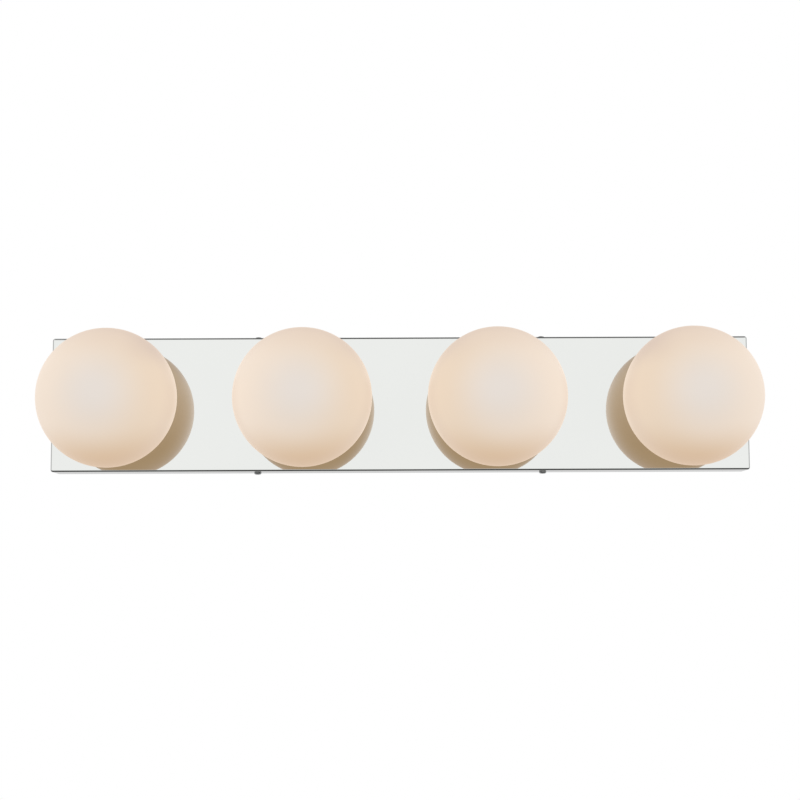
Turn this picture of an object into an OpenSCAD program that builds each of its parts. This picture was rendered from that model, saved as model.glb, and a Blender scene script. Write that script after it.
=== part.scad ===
// Four-globe vanity light bar: a folded mirror-finish pan, a hidden wall bracket,
// and four opal glass globes that push on over sprung cups around G9 capsule lamps.
// X runs along the bar, the wall is the plane Y = 0 behind it, and Z is up.

/* [Bar pan] */
// Length of the pan along the wall
bar_w = 789.5; // [660:0.5:1000]
// Height of the pan
bar_h = 152; // [124:1:190]
// Depth of the pan from the wall to its front face
pan_d = 38; // [32:0.5:60]
// Thickness of the pan's sheet
pan_sheet = 1.2; // [0.8:0.1:2]
// Outer radius of the bends around the front face
bend_r = 2; // [1.4:0.1:4]
// Radius of the pan's four corners, seen from the front
corner_r = 2.8; // [1.6:0.1:6]

/* [Globes] */
// Distance from an end of the pan to the middle of the nearest globe
end_margin = 75.7; // [60:0.05:100]
// Outside diameter of a globe
globe_d = 152; // [120:1:190]
// Wall thickness of the opal glass
glass_t = 3; // [2:0.1:5]
// Diameter of the hole in the back of a globe
mouth_d = 54; // [44:1:68]
// Width of the flat ground land around that hole
rim_land = 1.4; // [0.8:0.1:3]

/* [Globe cup] */
// Thickness of the cup's sheet
cup_sheet = 1; // [0.6:0.1:1.6]
// How far the cup's wall reaches past the middle of its rivets
cup_over = 3.9; // [2.5:0.1:8]
// Radial gap between the cup's wall and the globe's hole
cup_gap = 2.2; // [1.8:0.1:4]
// How far the cup's base reaches past the ground land
base_over = 1.8; // [1:0.1:4]
// Thickness of the silicone seat under the glass
seat_t = 4; // [2:0.5:8]
// Number of spring clips around each cup
clip_count = 3; // [3:1:4]
// Width of a spring clip
clip_w = 6; // [4:0.5:8]
// Thickness of a spring clip
clip_t = 0.5; // [0.3:0.05:0.8]
// How far the bow of a clip stands out past the globe's hole
clip_reach = 1.5; // [0.8:0.1:3]
// Diameter of a clip's rivet
rivet_d = 2.4; // [2:0.1:3]

/* [Lamp holder] */
// Diameter of the ceramic lamp holder
holder_d = 23; // [20:0.5:28]
// Length of the lamp holder
holder_len = 27; // [24:0.5:36]
// Distance between the two pins of a G9 lamp
pin_pitch = 9; // [9:0.1:9.2]
// Outside diameter of the hollow threaded nipple
nipple_d = 10; // [9:0.1:13]
// Wall of the nipple's locknut, between its thread and its flats
locknut_wall = 2; // [1.5:0.1:4]
// Thickness of the locknut
locknut_t = 3; // [2:0.1:5]

/* [Capsule lamp] */
// Diameter of the lamp's quartz capsule
capsule_d = 13.6; // [11:0.1:16]
// Length of the capsule
capsule_len = 27; // [20:0.5:34]
// Width of the pinched base
pinch_w = 14; // [12.4:0.1:16]
// Thickness of the pinched base
pinch_t = 4.8; // [4:0.1:7]
// Length of the pinched base
pinch_len = 12; // [9:0.5:16]
// Length of the two pins
pin_len = 8; // [7:0.1:10]
// Diameter of the wire that a pin is looped from
pin_wire = 0.9; // [0.7:0.05:1]

/* [Wall bracket] */
// Length of the bracket along the wall
bracket_w = 350; // [344:1:420]
// Height of the bracket's plate between its ears
bracket_h = 104; // [98:1:112]
// Thickness of the bracket's sheet
bracket_sheet = 1.5; // [1.2:0.1:2.5]
// Gap between the bracket's ears and the inside of the pan
ear_gap = 0.5; // [0.2:0.1:1.5]
// Width of an ear
ear_w = 22; // [16:1:30]
// Distance between the side screws along the bar
screw_span = 324; // [300:1:330]
// Distance of the side screws behind the pan's front face
screw_setback = 17; // [14:0.5:19]
// Diameter of the side screws' thread
screw_d = 4.1; // [3.4:0.1:5]
// Diameter of a side screw's head
head_d = 8.2; // [7:0.1:11]
// Height of a side screw's head
head_h = 3.4; // [2.4:0.1:5]
// Diameter of the wiring hole in the middle of the bracket
wire_hole_d = 30; // [22:1:36]
// Distance between the outlet-box slots, from middle to middle
box_slots = 79.4; // [76:0.1:84]
// End-to-end length of an outlet-box slot
slot_len = 14.4; // [10:0.1:18]
// Width of an outlet-box slot
slot_wd = 4.8; // [4:0.1:6]
// Distance between the wall-anchor holes
anchor_span = 290; // [250:1:310]
// Diameter of a wall-anchor hole
anchor_d = 5.2; // [4:0.1:8]

/* [Wiring] */
// Diameter of an insulated lead
lead_d = 2.3; // [1.8:0.1:2.6]
// Centre-line radius of a lead's bends
lead_bend = 6; // [5:0.5:8]
// Distance between the two leads inside a nipple
lead_gap = 3.4; // [3:0.1:4]
// Distance from the back ends of the nipples to the leads' run along the bar
lead_drop = 11.5; // [10.5:0.1:14]
// Straight stretch of an inner light's lead between its first two bends
lead_rise = 3; // [2:0.5:5]
// Distance between the lanes of the inner and the outer lights' leads
lane_step = 6; // [4:0.5:7]
// Diameter of a wire nut at its mouth
nut_d = 15; // [13:0.5:18]
// Length of a wire nut
nut_len = 25; // [22:0.5:30]

/* [Hidden] */
$fn = 96;
lights = 4;
cut = 1; // how far a cut runs past the face it opens
slip = 0.2; // radial clearance where a part passes through a hole
lead_room = 0.75; // radial clearance of the two leads in a nipple
thread_fit = 0.03; // radial clearance of a threaded pair, drawn at its pitch surface
least_r = 0.2; // smallest radius inside a bend or a corner
light_pitch = (bar_w - 2 * end_margin) / (lights - 1);
light_xs = [for (k = [1:lights]) (k - (lights + 1) / 2) * light_pitch];
sides = [-1, 1];

// Distances from the wall
front_w = pan_d;
base_w = front_w + cup_sheet; // front of the cup's base
rim_w = base_w + seat_t; // the globe's ground land
globe_r = globe_d / 2;
mouth_r = mouth_d / 2;
rim_r = mouth_r + rim_land;
globe_w = rim_w + sqrt(globe_r * globe_r - rim_r * rim_r);
holder_w = base_w + holder_len; // front of the lamp holder
lamp_gap = 0.6;
lamp_w = holder_w + lamp_gap; // back of the lamp's pinched base
capsule_w = lamp_w + pinch_len; // back of the capsule
screw_w = front_w - screw_setback;

// Cup and clips
cup_r = mouth_r - cup_gap;
base_r = rim_r + base_over;
seat_in = cup_r + 0.6;
seat_out = rim_r + 0.9;
clip_bow = 1.6; // radius of a clip's bow
clip_tip = 0.2; // gap between a clip's free end and the cup
clip_lift = 0.6; // from the ground land to a clip's free end
bow_r = mouth_r + clip_reach - clip_t / 2;
bow_w = rim_w + glass_t + 4.5; // widest place of a clip
pad_w = bow_w + 3.6; // where a clip meets the cup
pad_len = 6;
rivet_w = pad_w + pad_len / 2;
rivet_head_d = 1.8 * rivet_d;
rivet_head_h = 0.8;
rivet_hole_d = rivet_d + 0.1;
window_w = 2; // how much wider a window is than its clip, on each side
cup_h = rivet_w + cup_over - base_w; // height of the cup's wall above its base
// A clip's side view: X is the distance from the lamp's axis, Y the distance from the wall
clip_line = concat(
    [[cup_r + clip_t + clip_tip, rim_w + clip_lift]],
    [for (a = [-60:20:50]) [bow_r - clip_bow * (1 - cos(a)), bow_w + clip_bow * sin(a)]],
    [[cup_r + clip_t / 2, pad_w], [cup_r + clip_t / 2, pad_w + pad_len]]
);

// Lamp holder and its contacts
socket_w = holder_w - 12.6; // floor of the two sockets
slot_x = 2.5;
slot_z = 3.8;
chamber_h = 3.4; // depth of the chamber behind the sockets
chamber_z = 4.4;
boss_len = 6.4; // thread inside the back of the holder
contact_t = 0.4;
contact_z = 3;
contact_gap = 0.12; // between a pin and each leaf
contact_len = 9;
tail_w = socket_w - chamber_h + 2.2; // back of the contacts
nipple_tail = 1.4; // thread showing past the locknut
nipple_bore = lead_gap + lead_d + 2 * lead_room;
locknut_af = nipple_d + 2 * locknut_wall; // across the flats
washer_t = 0.9;
washer_rim = 4; // width of a lock washer's ring
washer_teeth = 10;
washer_notch = 1.4; // width and depth of the gap between two teeth
nipple_back_w = front_w - pan_sheet - washer_t - locknut_t - nipple_tail;
nipple_front_w = base_w + boss_len - 0.4;

// Lamp
capsule_wall = 0.8;
coil_d = 1.7;
coil_len = 9;
coil_turns = 9;
loop_z = 1.8; // between the two legs of a pin's loop
support_d = 0.5;
support_x = 2.21; // from the coil's middle to each of its supports

// Bracket
pan_in_h = bar_h - 2 * pan_sheet;
ear_out = pan_in_h / 2 - ear_gap;
ear_in = ear_out - bracket_sheet;
ear_reach_w = screw_w + 7;
collar_d = screw_d + 3;
collar_h = 1.4;
screw_len = bar_h / 2 - ear_in + collar_h + 2.2; // under the head
recess_w = 0.9;
recess_d = 1.5;

// Leads, splices and ground
lead_w = nipple_back_w - lead_drop; // distance of the leads' run from the wall
inner_lane = 2 * lead_bend + lead_rise; // height of the inner lights' leads
outer_lane = inner_lane + lane_step;
splice_pitch = lead_d + 0.5; // between neighbouring leads in a wire nut
splice_z = outer_lane + lead_bend + 4; // mouth of the upper and lower wire nuts
splice_in = 9; // how far the leads reach into a wire nut
nut_bore = 2 * splice_pitch + lead_d + 1.8;
nut_wing = 1.8; // thickness of a wire nut's wings, and their reach past its skirt
ground_x = 42;
ground_z = 10 - bracket_h / 2;
ground_screw_d = 4.6;
terminal_t = 0.8;
terminal_x = 9; // from the ground screw to the terminal's barrel
ground_w = 15; // distance of the ground lead's run from the wall
ground_run = 12; // from the terminal's barrel to the green wire nut's mouth

function numbered(name) = [for (k = [1:lights]) str(name, k)];

// Children drawn at light k, with local Z leaving the wall from distance w and local Y up
module out_at(x, w, z = 0) {
    translate([x, -w, z]) rotate([90, 0, 0]) children();
}

module tube(d_out, d_in, h) {
    difference() {
        cylinder(d = d_out, h = h);
        translate([0, 0, -cut]) cylinder(d = d_in, h = h + 2 * cut);
    }
}

// Rectangle with its four corners rounded
module rounded_plate(w, h, r) {
    square([w - 2 * r, h], center = true);
    square([w, h - 2 * r], center = true);
    for (i = sides, j = sides) translate([i * (w / 2 - r), j * (h / 2 - r)]) circle(r);
}

// Section through a folded edge: square at the wall, rounded at the front
module folded_section(w, d, r) {
    translate([-w / 2, 0]) square([w, d - r]);
    translate([-w / 2 + r, 0]) square([w - 2 * r, d]);
    for (i = sides) translate([i * (w / 2 - r), d - r]) circle(r);
}

module slot(len, wd) {
    square([len - wd, wd], center = true);
    for (i = sides) translate([i * (len - wd) / 2, 0]) circle(d = wd);
}

function unit(v) = v / norm(v);

// Line of points moved sideways by d, with mitred corners
function beside(p, d) = [
    for (i = [0:len(p) - 1])
        let (
            a = unit(i > 0 ? p[i] - p[i - 1] : p[1] - p[0]),
            b = unit(i < len(p) - 1 ? p[i + 1] - p[i] : a),
            m = unit([-a.y - b.y, a.x + b.x])
        )
        p[i] + m * d / (m * [-a.y, a.x])
];

// Edge view of a strip of sheet bent along a line of points
module strip(points, t) {
    back = beside(points, -t / 2);
    polygon(concat(beside(points, t / 2), [for (i = [len(back) - 1:-1:0]) back[i]]));
}

// ---- Pan ----

module pan_block(w, h, d, r_bend, r_corner) {
    intersection() {
        out_at(0, 0) linear_extrude(d) rounded_plate(w, h, r_corner);
        translate([0, 0, -h / 2]) mirror([0, 1, 0]) linear_extrude(h) folded_section(w, d, r_bend);
        translate([-w / 2, 0, 0]) rotate([90, 0, 90]) mirror([1, 0, 0]) linear_extrude(w)
            rotate(-90) mirror([1, 0, 0]) folded_section(h, d, r_bend);
    }
}

module front_pan() {
    in_w = bar_w - 2 * pan_sheet;
    in_bend = max(bend_r - pan_sheet, least_r);
    in_corner = max(corner_r - pan_sheet, least_r);
    color([0.86, 0.87, 0.86]) difference() {
        pan_block(bar_w, bar_h, pan_d, bend_r, corner_r);
        translate([0, cut, 0])
            pan_block(in_w, pan_in_h, pan_d - pan_sheet + cut, in_bend, in_corner);
        for (x = light_xs) out_at(x, front_w - pan_sheet - cut)
            cylinder(d = nipple_d + 2 * slip, h = pan_sheet + 2 * cut);
        for (i = sides, j = sides) side_screw_at(i, j) translate([0, 0, -2 * bend_r])
            cylinder(d = screw_d + 4 * slip, h = 4 * bend_r);
    }
}

// ---- Wall bracket and its screws ----

// Children drawn at a side screw, with local Z leaving the pan's flange
module side_screw_at(i, j) {
    translate([i * screw_span / 2, -screw_w, j * bar_h / 2]) rotate([j > 0 ? 0 : 180, 0, 0]) children();
}

module ear(i, j) {
    x = i * screw_span / 2;
    difference() {
        union() {
            // tab in the plane of the plate, then the bent-out ear
            out_at(x, 0) translate([-ear_w / 2, j > 0 ? bracket_h / 2 - cut : -ear_out])
                cube([ear_w, ear_out - bracket_h / 2 + cut, bracket_sheet]);
            out_at(x, 0) translate([-ear_w / 2, j > 0 ? ear_in : -ear_out])
                cube([ear_w, bracket_sheet, ear_reach_w - ear_w / 4]);
            out_at(x, 0) translate([-ear_w / 4, j > 0 ? ear_in : -ear_out])
                cube([ear_w / 2, bracket_sheet, ear_reach_w]);
            for (s = sides)
                translate([x + s * ear_w / 4, ear_w / 4 - ear_reach_w, j > 0 ? ear_in : -ear_out])
                    cylinder(r = ear_w / 4, h = bracket_sheet);
            side_screw_at(i, j) translate([0, 0, ear_in - collar_h - bar_h / 2])
                cylinder(d = collar_d, h = collar_h + bracket_sheet / 2);
        }
        side_screw_at(i, j) translate([0, 0, ear_in - collar_h - cut - bar_h / 2])
            cylinder(d = screw_d + 2 * thread_fit, h = collar_h + bracket_sheet + 2 * cut);
    }
}

module wall_bracket() {
    color([0.72, 0.71, 0.66]) difference() {
        union() {
            out_at(0, 0) linear_extrude(bracket_sheet) rounded_plate(bracket_w, bracket_h, 6);
            for (i = sides, j = sides) ear(i, j);
        }
        out_at(0, -cut) linear_extrude(bracket_sheet + 2 * cut) {
            circle(d = wire_hole_d);
            for (i = sides) {
                translate([i * box_slots / 2, 0]) slot(slot_len, slot_wd);
                translate([0, i * box_slots / 2]) rotate(90) slot(slot_len, slot_wd);
                translate([i * anchor_span / 2, 0]) circle(d = anchor_d);
            }
            translate([ground_x, ground_z]) circle(d = ground_screw_d + 2 * thread_fit);
        }
    }
}

module side_screw() {
    dome_r = (head_d * head_d / 4 + head_h * head_h) / (2 * head_h);
    difference() {
        union() {
            translate([0, 0, -screw_len]) cylinder(d = screw_d, h = screw_len + head_h / 2);
            intersection() {
                cylinder(d = head_d, h = head_h);
                translate([0, 0, head_h - dome_r]) sphere(dome_r);
            }
        }
        for (a = [0, 90]) rotate(a) translate([0, 0, head_h - recess_d / 2 + cut / 2])
            cube([head_d * 0.55, recess_w, recess_d + cut], center = true);
    }
}

module side_screws() {
    color([0.75, 0.75, 0.74]) for (i = sides, j = sides) side_screw_at(i, j) side_screw();
}

// ---- Globes ----

module globe(k) {
    color([0.95, 0.89, 0.81]) out_at(light_xs[k - 1], globe_w) difference() {
        sphere(globe_r);
        sphere(globe_r - glass_t);
        translate([0, 0, -globe_r - cut]) cylinder(r = mouth_r, h = globe_r);
        translate([-globe_r, -globe_r, -2 * globe_r - (globe_w - rim_w)]) cube(2 * globe_r);
    }
}

module globe_seat(k) {
    color([0.9, 0.9, 0.88]) out_at(light_xs[k - 1], base_w) tube(2 * seat_out, 2 * seat_in, seat_t);
}

// ---- Globe cup, spring clips and rivets ----

module globe_cup(k) {
    color([0.8, 0.8, 0.79]) out_at(light_xs[k - 1], front_w) difference() {
        union() {
            tube(2 * base_r, nipple_d + 2 * slip, cup_sheet);
            tube(2 * cup_r, 2 * (cup_r - cup_sheet), cup_sheet + cup_h);
        }
        for (a = [1:clip_count]) rotate(90 + a * 360 / clip_count) {
            translate([cup_r - 2 * cup_sheet, -clip_w / 2 - window_w, rim_w - front_w - seat_t / 2])
                cube([4 * cup_sheet, clip_w + 2 * window_w, pad_w - rim_w + seat_t / 2]);
            translate([cup_r, 0, rivet_w - front_w]) rotate([0, 90, 0])
                cylinder(d = rivet_hole_d, h = 4 * cup_sheet, center = true);
        }
    }
}

module globe_clips(k) {
    color([0.7, 0.72, 0.74]) out_at(light_xs[k - 1], 0)
        for (a = [1:clip_count]) rotate(90 + a * 360 / clip_count) difference() {
            translate([0, clip_w / 2, 0]) rotate([90, 0, 0]) linear_extrude(clip_w)
                strip(clip_line, clip_t);
            translate([cup_r, 0, rivet_w]) rotate([0, 90, 0])
                cylinder(d = rivet_hole_d, h = 4 * clip_t + 2 * cut, center = true);
        }
}

module clip_rivets() {
    in_r = sqrt(pow(cup_r - cup_sheet, 2) - pow(rivet_head_d / 2, 2)) - 0.02;
    color([0.66, 0.66, 0.66]) for (x = light_xs) out_at(x, rivet_w)
        for (a = [1:clip_count]) rotate(90 + a * 360 / clip_count) rotate([0, 90, 0]) {
            translate([0, 0, in_r - rivet_head_h])
                cylinder(d = rivet_d, h = cup_r + clip_t - in_r + 1.5 * rivet_head_h);
            translate([0, 0, in_r - rivet_head_h]) cylinder(d = rivet_head_d, h = rivet_head_h);
            translate([0, 0, cup_r + clip_t]) cylinder(d = rivet_head_d, h = rivet_head_h);
        }
}

// ---- Lamp holder, contacts and the nipple that clamps them to the pan ----

module lamp_holder(k) {
    neck_d = holder_d - 3;
    neck_w = 0.62 * holder_len; // where the body has narrowed to its neck
    color([0.93, 0.92, 0.88]) out_at(light_xs[k - 1], base_w) difference() {
        rotate_extrude() polygon([
            [0, 0], [holder_d / 2 - 1, 0], [holder_d / 2, 1], [holder_d / 2, neck_w - 1.89],
            [neck_d / 2, neck_w], [neck_d / 2, holder_len - 1],
            [neck_d / 2 - 1, holder_len], [0, holder_len]
        ]);
        translate([0, 0, -cut]) cylinder(r = nipple_d / 2 + thread_fit, h = boss_len + cut);
        cylinder(d = nipple_bore, h = socket_w - base_w - chamber_h + cut);
        translate([0, 0, socket_w - base_w - chamber_h / 2 + cut / 2])
            cube([pin_pitch + slot_x, chamber_z, chamber_h + cut], center = true);
        for (i = sides) translate([i * pin_pitch / 2, 0, holder_len])
            cube([slot_x, slot_z, 2 * (holder_w - socket_w)], center = true);
    }
}

// A pair of sprung U-shaped contacts, each with a tail that its lead is crimped to
module contacts(k) {
    inner = pin_wire / 2 + contact_gap;
    tail_x = lead_gap / 2 - lead_d / 2;
    color([0.78, 0.74, 0.6]) out_at(light_xs[k - 1], tail_w) for (i = sides) mirror([i > 0 ? 0 : 1, 0, 0]) {
        translate([tail_x, -contact_z / 2, 0])
            cube([pin_pitch / 2 + inner + contact_t - tail_x, contact_z, contact_t]);
        for (s = sides) translate([pin_pitch / 2 + s * (inner + contact_t / 2), 0, contact_len / 2])
            cube([contact_t, contact_z, contact_len], center = true);
    }
}

module nipples() {
    color([0.8, 0.7, 0.4]) for (x = light_xs) out_at(x, nipple_back_w)
        tube(nipple_d, nipple_bore, nipple_front_w - nipple_back_w);
}

module lock_washers() {
    washer_d = nipple_d + 2 * washer_rim;
    color([0.7, 0.7, 0.7]) for (x = light_xs) out_at(x, front_w - pan_sheet - washer_t) difference() {
        tube(washer_d, nipple_d + 2 * slip, washer_t);
        for (a = [1:washer_teeth]) rotate(a * 360 / washer_teeth)
            translate([washer_d / 2 - washer_notch, -washer_notch / 2, -cut])
                cube([2 * washer_notch, washer_notch, washer_t + 2 * cut]);
    }
}

module locknuts() {
    color([0.82, 0.72, 0.42]) for (x = light_xs)
        out_at(x, front_w - pan_sheet - washer_t - locknut_t) difference() {
            cylinder(d = locknut_af / cos(30), h = locknut_t, $fn = 6);
            translate([0, 0, -cut]) cylinder(r = nipple_d / 2 + thread_fit, h = locknut_t + 2 * cut);
        }
}

// ---- Capsule lamps ----

module capsule_outline(d, len) {
    intersection() {
        union() {
            square([d / 2, len - d / 2]);
            translate([0, len - d / 2]) circle(d = d);
        }
        square([d, len]);
    }
}

module lamp_capsule(k) {
    color([0.9, 0.92, 0.94, 0.5]) out_at(light_xs[k - 1], capsule_w) difference() {
        union() {
            rotate_extrude() capsule_outline(capsule_d, capsule_len);
            translate([0, 0, capsule_len - 0.6]) cylinder(d1 = 3.2, d2 = 1.2, h = 2.2);
        }
        translate([0, 0, capsule_wall])
            rotate_extrude() capsule_outline(capsule_d - 2 * capsule_wall, capsule_len - 2 * capsule_wall);
    }
}

module lamp_base(k) {
    groove = 0.7;
    color([0.88, 0.9, 0.92]) out_at(light_xs[k - 1], lamp_w) difference() {
        linear_extrude(pinch_len) rounded_plate(pinch_w, pinch_t, 1.4);
        for (s = sides) translate([0, s * pinch_t / 2, pinch_len / 2])
            cube([pinch_w * 0.5, groove, pinch_len * 0.6], center = true);
    }
}

module lamp_pins(k) {
    leg = pin_len - loop_z / 2 - pin_wire / 2;
    color([0.8, 0.8, 0.8]) out_at(light_xs[k - 1], lamp_w) for (i = sides)
        translate([i * pin_pitch / 2, 0, -leg]) rotate([0, 90, 0]) {
            rotate(-90) rotate_extrude(angle = 180) translate([loop_z / 2, 0]) circle(d = pin_wire);
            for (s = sides) translate([0, s * loop_z / 2, 0]) rotate([0, -90, 0])
                cylinder(d = pin_wire, h = leg);
        }
}

module filament(k) {
    pitch = coil_len / coil_turns;
    start = (capsule_len - coil_len) / 2;
    color([0.6, 0.6, 0.6]) out_at(light_xs[k - 1], capsule_w + capsule_wall) {
        for (i = sides) translate([i * support_x, 0, 0])
            cylinder(d = support_d, h = start + (i > 0 ? support_d : coil_len));
        translate([0, 0, start + support_d / 2]) rotate([0, 90, 0]) cylinder(d = support_d, h = support_x);
        translate([-support_x, 0, start + coil_len - support_d / 2]) rotate([0, 90, 0])
            cylinder(d = support_d, h = support_x);
        translate([0, 0, start]) rotate_extrude() difference() {
            square([coil_d / 2, coil_len]);
            for (t = [0:coil_turns]) translate([coil_d / 2 + 0.1, t * pitch]) circle(pitch * 0.32, $fn = 24);
        }
    }
}

// ---- Leads, wire nuts and the ground ----

// Frame whose columns are three unit vectors, placed at a point
function placed(x, y, z, at) = [
    [x.x, y.x, z.x, at.x],
    [x.y, y.y, z.y, at.y],
    [x.z, y.z, z.z, at.z],
    [0, 0, 0, 1]
];
function across(v) = abs(v.z) > 0.5 ? [1, 0, 0] : [0, 0, 1];

// Straight stretch of a lead, and a quarter turn at a corner from heading u to heading v
module run(a, b) {
    z = unit(b - a);
    y = across(z);
    multmatrix(placed(cross(y, z), y, z, a)) cylinder(d = lead_d, h = norm(b - a));
}

module quarter_turn(p, u, v) {
    multmatrix(placed(-v, u, cross(-v, u), p + (v - u) * lead_bend))
        rotate_extrude(angle = 90) translate([lead_bend, 0]) circle(d = lead_d);
}

// Lead along a route of square corners
module lead(route) {
    last = len(route) - 1;
    for (i = [0:last - 1]) {
        heading = unit(route[i + 1] - route[i]);
        run(route[i] + heading * (i > 0 ? lead_bend : 0),
            route[i + 1] - heading * (i + 1 < last ? lead_bend : 0));
    }
    for (i = [1:last - 1])
        quarter_turn(route[i], unit(route[i] - route[i - 1]), unit(route[i + 1] - route[i]));
}

// Leads of one colour: out of each nipple, up or down to a lane, along it, and into the wire nut
module leads(up) {
    for (k = [1:lights]) {
        side = light_xs[k - 1] < 0 ? -1 : 1;
        outer = k == 1 || k == lights;
        x = light_xs[k - 1] - up * lead_gap / 2;
        y = -lead_w + (outer ? 1 : -1) * splice_pitch / 2;
        z = up * (outer ? outer_lane : inner_lane);
        nut_x = side * splice_pitch / 2;
        lead([
            [x, -tail_w, 0], [x, y, 0], [x, y, z], [nut_x, y, z],
            [nut_x, y, up * (splice_z + splice_in)]
        ]);
    }
}

module black_leads() {
    color([0.08, 0.08, 0.08]) leads(1);
}

module white_leads() {
    color([0.9, 0.9, 0.88]) leads(-1);
}

// Wire nut with its mouth at the origin and its tip along Z
module wire_nut() {
    ribs = 12;
    tip_d = nut_d * 0.68;
    skirt = nut_len * 0.28;
    difference() {
        union() {
            rotate_extrude() polygon([
                [0, 0], [nut_d / 2, 0], [nut_d / 2, skirt], [nut_d / 2 - 1.1, skirt + 1],
                [tip_d / 2, nut_len - 1.2], [tip_d / 2 - 1.2, nut_len], [0, nut_len]
            ]);
            for (a = [0, 180]) rotate(a) translate([nut_d / 2 - 1.5, -nut_wing / 2, 0])
                cube([1.5 + nut_wing, nut_wing, skirt + 3]);
        }
        for (a = [1:ribs]) rotate((a + 0.5) * 360 / ribs) translate([nut_d / 2 - 0.75, 0, skirt + 2.5])
            rotate([0, -4.5, 0]) cylinder(r = 0.8, h = nut_len);
        translate([0, 0, -cut]) cylinder(d = nut_bore, h = splice_in + 1.5 + cut);
        cylinder(d = nut_bore - 3, h = nut_len - 5);
    }
}

module black_wire_nut() {
    color([0.85, 0.35, 0.08]) translate([0, -lead_w, splice_z]) wire_nut();
}

module white_wire_nut() {
    color([0.85, 0.35, 0.08]) translate([0, -lead_w, -splice_z]) rotate([180, 0, 0]) wire_nut();
}

module ground_screw() {
    hex_af = 8;
    color([0.1, 0.45, 0.2]) out_at(ground_x, bracket_sheet + terminal_t, ground_z) difference() {
        union() {
            cylinder(d = 9.4, h = 0.9);
            cylinder(d = hex_af / cos(30), h = 3.6, $fn = 6);
            translate([0, 0, -bracket_sheet - terminal_t]) cylinder(d = ground_screw_d, h = 3);
        }
        translate([0, 0, 3.6]) cube([2 * hex_af, 1.2, 2.6], center = true);
    }
}

// Ring terminal: a flat ring under the ground screw, with its barrel bent away from the wall
module ground_terminal() {
    barrel_d = lead_d + 1.6;
    color([0.8, 0.75, 0.6]) out_at(ground_x, bracket_sheet, ground_z) difference() {
        union() {
            cylinder(d = 9, h = terminal_t);
            translate([0, -1.6, 0]) cube([terminal_x, 3.2, terminal_t]);
            translate([terminal_x, 0, 0]) cylinder(d = barrel_d, h = terminal_t + 5);
        }
        translate([0, 0, -cut]) cylinder(d = ground_screw_d + 2 * slip, h = terminal_t + 2 * cut);
        translate([terminal_x, 0, terminal_t]) cylinder(d = lead_d + 0.1, h = 5 + cut);
    }
}

module ground_lead() {
    x = ground_x + terminal_x;
    color([0.12, 0.5, 0.22]) lead([
        [x, -bracket_sheet - terminal_t, ground_z],
        [x, -ground_w, ground_z],
        [x + ground_run + splice_in, -ground_w, ground_z]
    ]);
}

module ground_wire_nut() {
    color([0.12, 0.5, 0.22]) translate([ground_x + terminal_x + ground_run, -ground_w, ground_z])
        rotate([0, 90, 0]) wire_nut();
}

front_pan();
wall_bracket();
side_screws();
for (k = [1:lights]) {
    globe(k);
    globe_seat(k);
    globe_cup(k);
    globe_clips(k);
    lamp_holder(k);
    contacts(k);
    lamp_capsule(k);
    lamp_base(k);
    lamp_pins(k);
    filament(k);
}
clip_rivets();
nipples();
lock_washers();
locknuts();
black_leads();
white_leads();
black_wire_nut();
white_wire_nut();
ground_screw();
ground_terminal();
ground_lead();
ground_wire_nut();
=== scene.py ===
from math import cos, pi, radians, sin, sqrt
import bmesh
import bpy
import numpy as np
from mathutils import Matrix, Vector
from mathutils.geometry import tessellate_polygon


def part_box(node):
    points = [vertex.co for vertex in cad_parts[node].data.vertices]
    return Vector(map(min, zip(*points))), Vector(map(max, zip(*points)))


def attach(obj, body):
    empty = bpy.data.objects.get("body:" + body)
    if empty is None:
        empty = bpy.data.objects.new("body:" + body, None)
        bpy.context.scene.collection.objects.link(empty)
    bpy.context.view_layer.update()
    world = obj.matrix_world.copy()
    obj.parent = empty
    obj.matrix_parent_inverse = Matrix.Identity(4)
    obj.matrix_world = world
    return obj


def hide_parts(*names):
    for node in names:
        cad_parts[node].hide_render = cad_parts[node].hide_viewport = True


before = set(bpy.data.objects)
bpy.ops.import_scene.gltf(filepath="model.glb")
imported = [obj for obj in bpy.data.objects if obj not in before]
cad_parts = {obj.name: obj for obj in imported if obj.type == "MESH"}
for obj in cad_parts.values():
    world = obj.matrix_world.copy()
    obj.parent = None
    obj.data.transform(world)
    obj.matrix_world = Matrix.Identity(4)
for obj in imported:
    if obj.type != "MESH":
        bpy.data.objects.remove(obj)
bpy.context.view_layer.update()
print("frame loaded:", len(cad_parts), "nodes")

mm = 0.001
lightNumbers = (1, 2, 3, 4)


# One output socket of a node. Operators on it add Math nodes.
class Wire:
    def __init__(self, graph, socket):
        self.graph = graph
        self.socket = socket

    def maths(self, operation, *values):
        return self.graph.node("ShaderNodeMath", {"operation": operation}, values)

    def __add__(self, other):
        return self.maths("ADD", self, other)

    def __sub__(self, other):
        return self.maths("SUBTRACT", self, other)

    def __rsub__(self, other):
        return self.maths("SUBTRACT", other, self)

    def __mul__(self, other):
        return self.maths("MULTIPLY", self, other)

    __radd__ = __add__
    __rmul__ = __mul__

    def root(self):
        return self.maths("SQRT", self)

    def clamped(self):
        return self.graph.node("ShaderNodeClamp", {}, {"Value": self})

    # 0 at low, 1 at high, with an eased curve between
    def eased(self, low, high):
        settings = {"interpolation_type": "SMOOTHSTEP"}
        values = {"Value": self, "From Min": low, "From Max": high}
        return self.graph.node("ShaderNodeMapRange", settings, values)


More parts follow.
